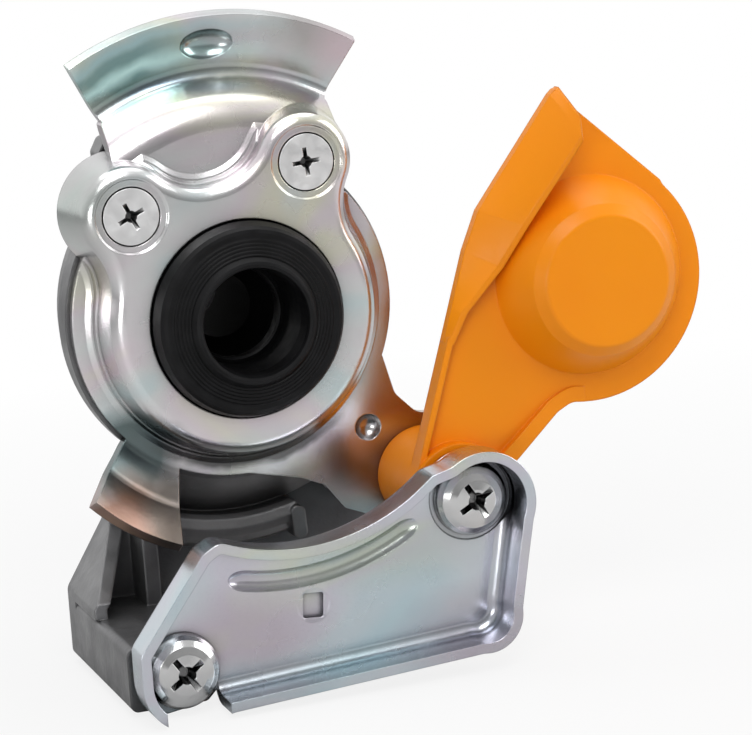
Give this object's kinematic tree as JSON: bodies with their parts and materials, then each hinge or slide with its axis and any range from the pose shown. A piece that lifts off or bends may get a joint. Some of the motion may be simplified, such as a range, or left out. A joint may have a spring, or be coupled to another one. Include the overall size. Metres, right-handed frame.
{
  "type": "pneumatic coupling head",
  "caption": "Air brake palm coupling head: die-cast body with steel face plate and claw, rubber face seal, guide bracket and a swing cover on a pivot screw.",
  "frame": {"origin": "point on the seal's axis where the rear air port's thread begins, 1.1 mm inside the rear face", "axes": "+Z from the seal's centre towards the claw, +X towards the open cover, -Y out of the coupling face; the port opens towards +Y"},
  "size_m": [0.1293, 0.0855, 0.1325],
  "materials": {
    "cast_body": "matte dark grey die casting",
    "zinc_plate": "bright zinc plating with faint colour",
    "zinc_bracket": "bright zinc plating, bluish",
    "seal_rubber": "satin black rubber",
    "ring_steel": "dull steel",
    "screw_zinc": "bright zinc plating",
    "spring_steel": "dull spring steel",
    "cover_plastic": "glossy orange-yellow moulding"
  },
  "bodies": {
    "head": {"body_casting": "cast_body", "face_plate": "zinc_plate", "seal_ring": "seal_rubber", "seal_backing_ring": "ring_steel", "plate_screw_left": "screw_zinc", "plate_screw_right": "screw_zinc", "bracket_plate": "zinc_bracket", "bracket_screw": "screw_zinc", "pivot_screw": "screw_zinc", "pivot_sleeve": "ring_steel", "pivot_washer": "screw_zinc", "cover_spring": "spring_steel"},
    "swing_cover": {"cover": "cover_plastic"}
  },
  "joints": [
    {"name": "cover_swing", "type": "hinge", "parent": "head", "child": "swing_cover", "pos_m": [0.038, -0.0589, -0.0383], "axis": [0, -1, 0], "range_deg": [0, 84]}
  ]
}
